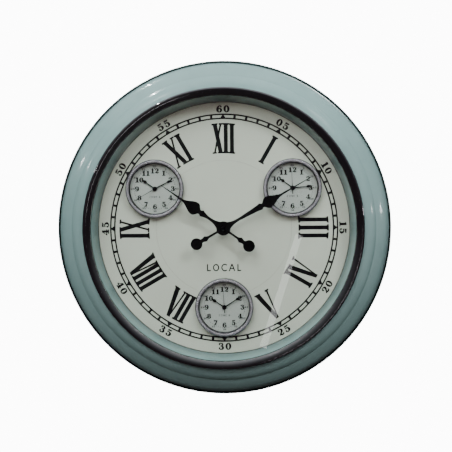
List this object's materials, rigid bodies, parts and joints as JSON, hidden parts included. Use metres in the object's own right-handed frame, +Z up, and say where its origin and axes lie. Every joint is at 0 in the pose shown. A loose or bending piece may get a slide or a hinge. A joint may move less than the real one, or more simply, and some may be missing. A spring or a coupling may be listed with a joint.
{
  "type": "multi-dial wall clock",
  "caption": "Round wall clock with a spun painted case, chrome glass ring, Roman dial and small insert clocks with geared hands.",
  "frame": {"origin": "middle of the wall plane, on the main hands' axis", "axes": "+Z up, +X to the viewer's right, +Y into the wall; the dial faces -Y"},
  "size_m": [0.515, 0.0872, 0.515],
  "materials": {
    "case_paint": "duck-egg blue gloss enamel",
    "cover_paint": "satin black paint",
    "chrome_trim": "polished chrome plate",
    "clear_glass": "clear polished glass",
    "seal_rubber": "soft matte rubber",
    "dial_paint": "printed satin cream",
    "fibre_board": "pressed fibre board",
    "black_plastic": "moulded plastic",
    "turned_brass": "turned brass",
    "copper_coil": "enamelled copper wire",
    "plain_steel": "bright zinc plate",
    "zinc_screws": "zinc-plated steel",
    "green_board": "printed circuit board",
    "battery_wrap": "printed battery jacket",
    "hand_paint": "satin black paint"
  },
  "bodies": {
    "clock": {"case_drum": "case_paint", "case_front": "case_paint", "cover_ledge": "case_paint", "rear_cover": "cover_paint", "rear_cover_screws": "zinc_screws", "hanger_plate": "plain_steel", "hanger_screws": "zinc_screws", "chrome_ring": "chrome_trim", "front_glass": "clear_glass", "glass_seal": "seal_rubber", "dial_surround": "case_paint", "main_dial": "dial_paint", "dial_board": "fibre_board", "dial_screws": "zinc_screws", "movement_case": "black_plastic", "movement_lid": "black_plastic", "centre_bush": "turned_brass", "bush_nut": "turned_brass", "bush_washer": "turned_brass", "drive_coil": "copper_coil", "stator": "plain_steel", "circuit_board": "green_board", "battery": "battery_wrap", "battery_contacts": "turned_brass", "insert_grip_rings": "seal_rubber", "insert_cells": "plain_steel", "left_bezel": "chrome_trim", "left_glass": "clear_glass", "left_dial": "dial_paint", "left_cup": "black_plastic", "left_movement": "black_plastic", "right_bezel": "chrome_trim", "right_glass": "clear_glass", "right_dial": "dial_paint", "right_cup": "black_plastic", "right_movement": "black_plastic", "lower_bezel": "chrome_trim", "lower_glass": "clear_glass", "lower_dial": "dial_paint", "lower_cup": "black_plastic", "lower_movement": "black_plastic"},
    "minute": {"minute_arbor": "turned_brass", "minute_hand": "hand_paint", "hand_nut": "hand_paint"},
    "hour": {"hour_wheel": "turned_brass", "hour_hand": "hand_paint"},
    "motion": {"motion_wheel": "turned_brass"},
    "setting": {"setting_knob": "black_plastic"},
    "left_minute": {"left_minute_hand": "hand_paint", "left_set_knob": "black_plastic"},
    "left_hour": {"left_hour_hand": "hand_paint"},
    "left_second": {"left_second_hand": "hand_paint"},
    "right_minute": {"right_minute_hand": "hand_paint", "right_set_knob": "black_plastic"},
    "right_hour": {"right_hour_hand": "hand_paint"},
    "right_second": {"right_second_hand": "hand_paint"},
    "lower_minute": {"lower_minute_hand": "hand_paint", "lower_set_knob": "black_plastic"},
    "lower_hour": {"lower_hour_hand": "hand_paint"},
    "lower_second": {"lower_second_hand": "hand_paint"}
  },
  "joints": [
    {"name": "minute_turn", "type": "hinge", "parent": "clock", "child": "minute", "pos_m": [0, 0, 0], "axis": [0, 1, 0], "continuous": true},
    {"name": "hour_turn", "type": "hinge", "parent": "clock", "child": "hour", "pos_m": [0, 0, 0], "axis": [0, 1, 0], "continuous": true},
    {"name": "motion_turn", "type": "hinge", "parent": "clock", "child": "motion", "pos_m": [0, 0, 0.0084], "axis": [0, 1, 0], "continuous": true},
    {"name": "setting_turn", "type": "hinge", "parent": "clock", "child": "setting", "pos_m": [0.00727, 0, 0.0126], "axis": [0, 1, 0], "continuous": true},
    {"name": "left_minute_turn", "type": "hinge", "parent": "clock", "child": "left_minute", "pos_m": [-0.106, 0, 0.0612], "axis": [0, 1, 0], "continuous": true},
    {"name": "left_hour_turn", "type": "hinge", "parent": "clock", "child": "left_hour", "pos_m": [-0.106, 0, 0.0612], "axis": [0, 1, 0], "continuous": true},
    {"name": "left_second_turn", "type": "hinge", "parent": "clock", "child": "left_second", "pos_m": [-0.106, 0, 0.0612], "axis": [0, 1, 0], "continuous": true},
    {"name": "right_minute_turn", "type": "hinge", "parent": "clock", "child": "right_minute", "pos_m": [0.106, 0, 0.0612], "axis": [0, 1, 0], "continuous": true},
    {"name": "right_hour_turn", "type": "hinge", "parent": "clock", "child": "right_hour", "pos_m": [0.106, 0, 0.0612], "axis": [0, 1, 0], "continuous": true},
    {"name": "right_second_turn", "type": "hinge", "parent": "clock", "child": "right_second", "pos_m": [0.106, 0, 0.0612], "axis": [0, 1, 0], "continuous": true},
    {"name": "lower_minute_turn", "type": "hinge", "parent": "clock", "child": "lower_minute", "pos_m": [0, 0, -0.1224], "axis": [0, 1, 0], "continuous": true},
    {"name": "lower_hour_turn", "type": "hinge", "parent": "clock", "child": "lower_hour", "pos_m": [0, 0, -0.1224], "axis": [0, 1, 0], "continuous": true},
    {"name": "lower_second_turn", "type": "hinge", "parent": "clock", "child": "lower_second", "pos_m": [0, 0, -0.1224], "axis": [0, 1, 0], "continuous": true}
  ],
  "couplings": [
    {"joint": "hour_turn", "follows": "minute_turn", "ratio": 0.083333},
    {"joint": "motion_turn", "follows": "minute_turn", "ratio": -0.33333},
    {"joint": "setting_turn", "follows": "minute_turn", "ratio": 1},
    {"joint": "left_hour_turn", "follows": "left_minute_turn", "ratio": 0.083333},
    {"joint": "left_second_turn", "follows": "left_minute_turn", "ratio": 60},
    {"joint": "right_hour_turn", "follows": "right_minute_turn", "ratio": 0.083333},
    {"joint": "right_second_turn", "follows": "right_minute_turn", "ratio": 60},
    {"joint": "lower_hour_turn", "follows": "lower_minute_turn", "ratio": 0.083333},
    {"joint": "lower_second_turn", "follows": "lower_minute_turn", "ratio": 60}
  ]
}
